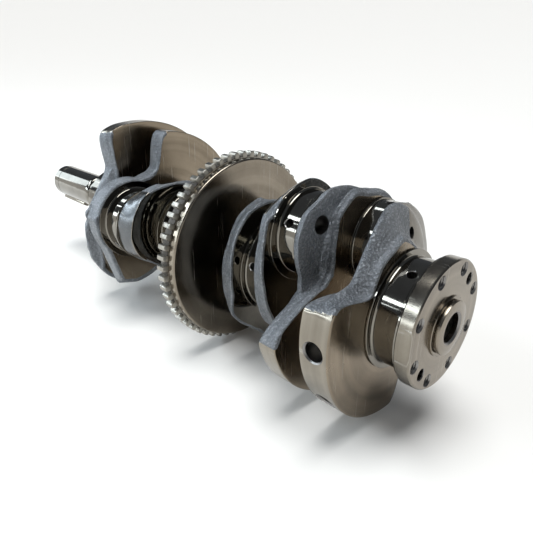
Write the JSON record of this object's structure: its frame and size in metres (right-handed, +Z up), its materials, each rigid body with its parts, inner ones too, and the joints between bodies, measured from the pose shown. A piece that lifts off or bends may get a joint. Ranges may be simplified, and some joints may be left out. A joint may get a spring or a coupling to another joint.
{
  "type": "crankshaft",
  "caption": "V6 crankshaft with main journals, offset crankpins, counterweight webs, a toothed tone ring, a keyed snout and a drilled flywheel flange.",
  "frame": {"origin": "crank axis at the plane of the flywheel flange's rear face", "axes": "+X along the crank axis from the snout towards the flywheel, +Z up as the shaft lies in the picture; crankpin 2 points nearly along -Y"},
  "size_m": [0.4878, 0.1606, 0.1606],
  "materials": {
    "ground_steel": "ground and polished bright",
    "forged_steel": "shot-blasted forging, dark blue grey and finely grained",
    "turned_steel": "fine turned, with arc tool marks",
    "tone_ring_steel": "stamped and satin",
    "key_steel": "plain drawn key steel"
  },
  "bodies": {
    "root": {"snout": "ground_steel", "snout_key": "key_steel", "timing_sprocket_seat": "ground_steel", "main_journal_1": "ground_steel", "main_journal_2": "ground_steel", "main_journal_3": "ground_steel", "main_journal_4": "ground_steel", "crankpin_1": "ground_steel", "crankpin_2": "ground_steel", "crankpin_3": "ground_steel", "crankpin_4": "ground_steel", "crankpin_5": "ground_steel", "crankpin_6": "ground_steel", "front_counterweight_web": "forged_steel", "front_flying_web": "forged_steel", "web_at_crankpin_2": "forged_steel", "web_at_crankpin_3": "forged_steel", "web_at_crankpin_4": "forged_steel", "web_at_crankpin_5": "forged_steel", "rear_flying_web": "forged_steel", "rear_counterweight_web": "forged_steel", "tone_wheel_web": "turned_steel", "tone_ring": "tone_ring_steel", "flywheel_flange": "turned_steel", "pilot_hub": "turned_steel"}
  },
  "joints": []
}
